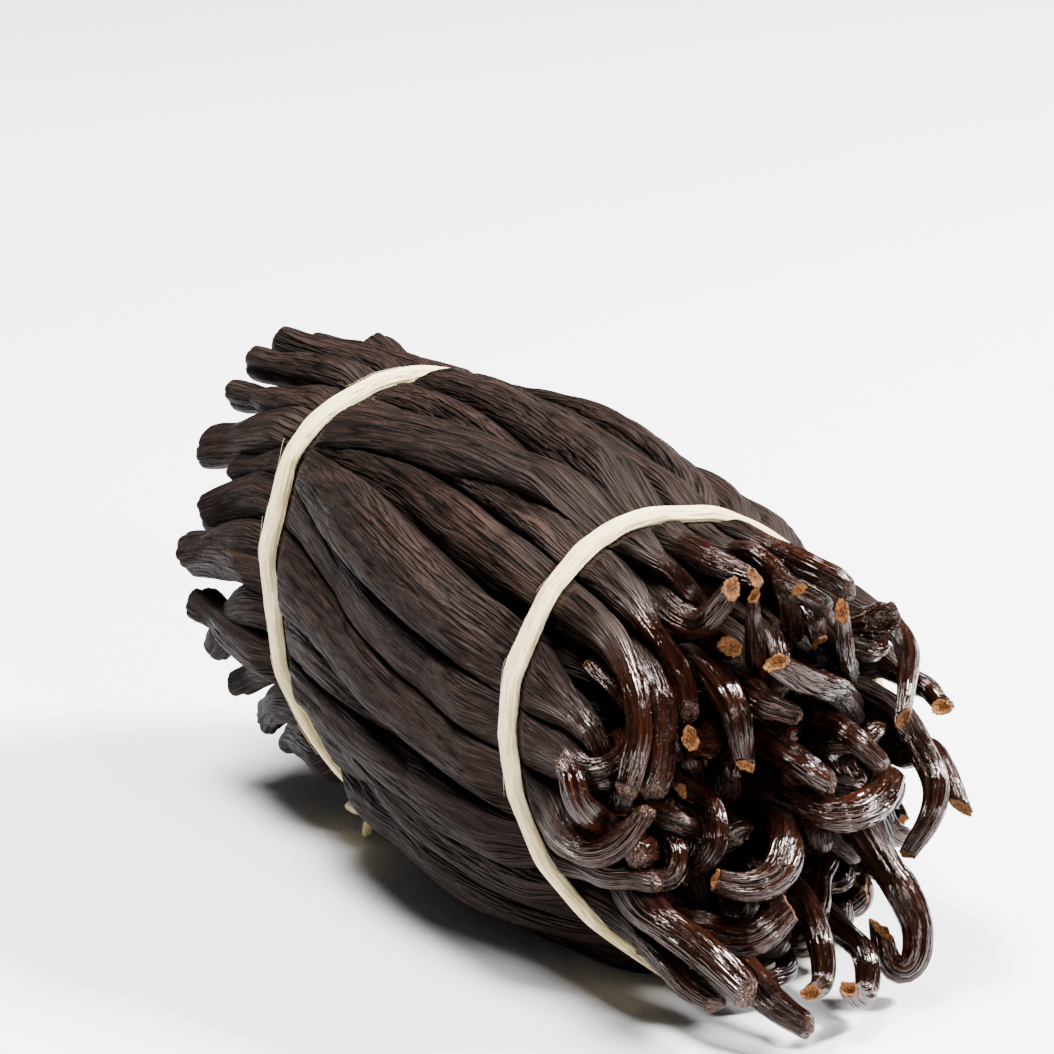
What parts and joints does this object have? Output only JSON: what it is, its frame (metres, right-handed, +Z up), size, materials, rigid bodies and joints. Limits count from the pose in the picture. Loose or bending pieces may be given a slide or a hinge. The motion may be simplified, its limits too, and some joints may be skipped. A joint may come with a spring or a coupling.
{
  "type": "bundle of vanilla pods",
  "caption": "Bundle of dark cured vanilla pods lying on its side, tied round twice with flat cotton string, with hooked stem ends at one end and blunt tips at the other.",
  "frame": {"origin": "bottom centre of the bounding box, on the surface the bundle lies on", "axes": "+X along the bundle towards the hooked stem ends, +Z up, +Y across the bundle"},
  "size_m": [0.1576, 0.0782, 0.0727],
  "materials": {
    "cured_pod": "dark brown cured pod skin, oily and finely wrinkled lengthwise, satin along the pods and glossy at the hooked ends",
    "cotton_string": "cream cotton string of loose parallel fibres, matte"
  },
  "bodies": {
    "root": {"pod_bundle": "cured_pod", "tie_front": "cotton_string", "tie_rear": "cotton_string"}
  },
  "joints": []
}
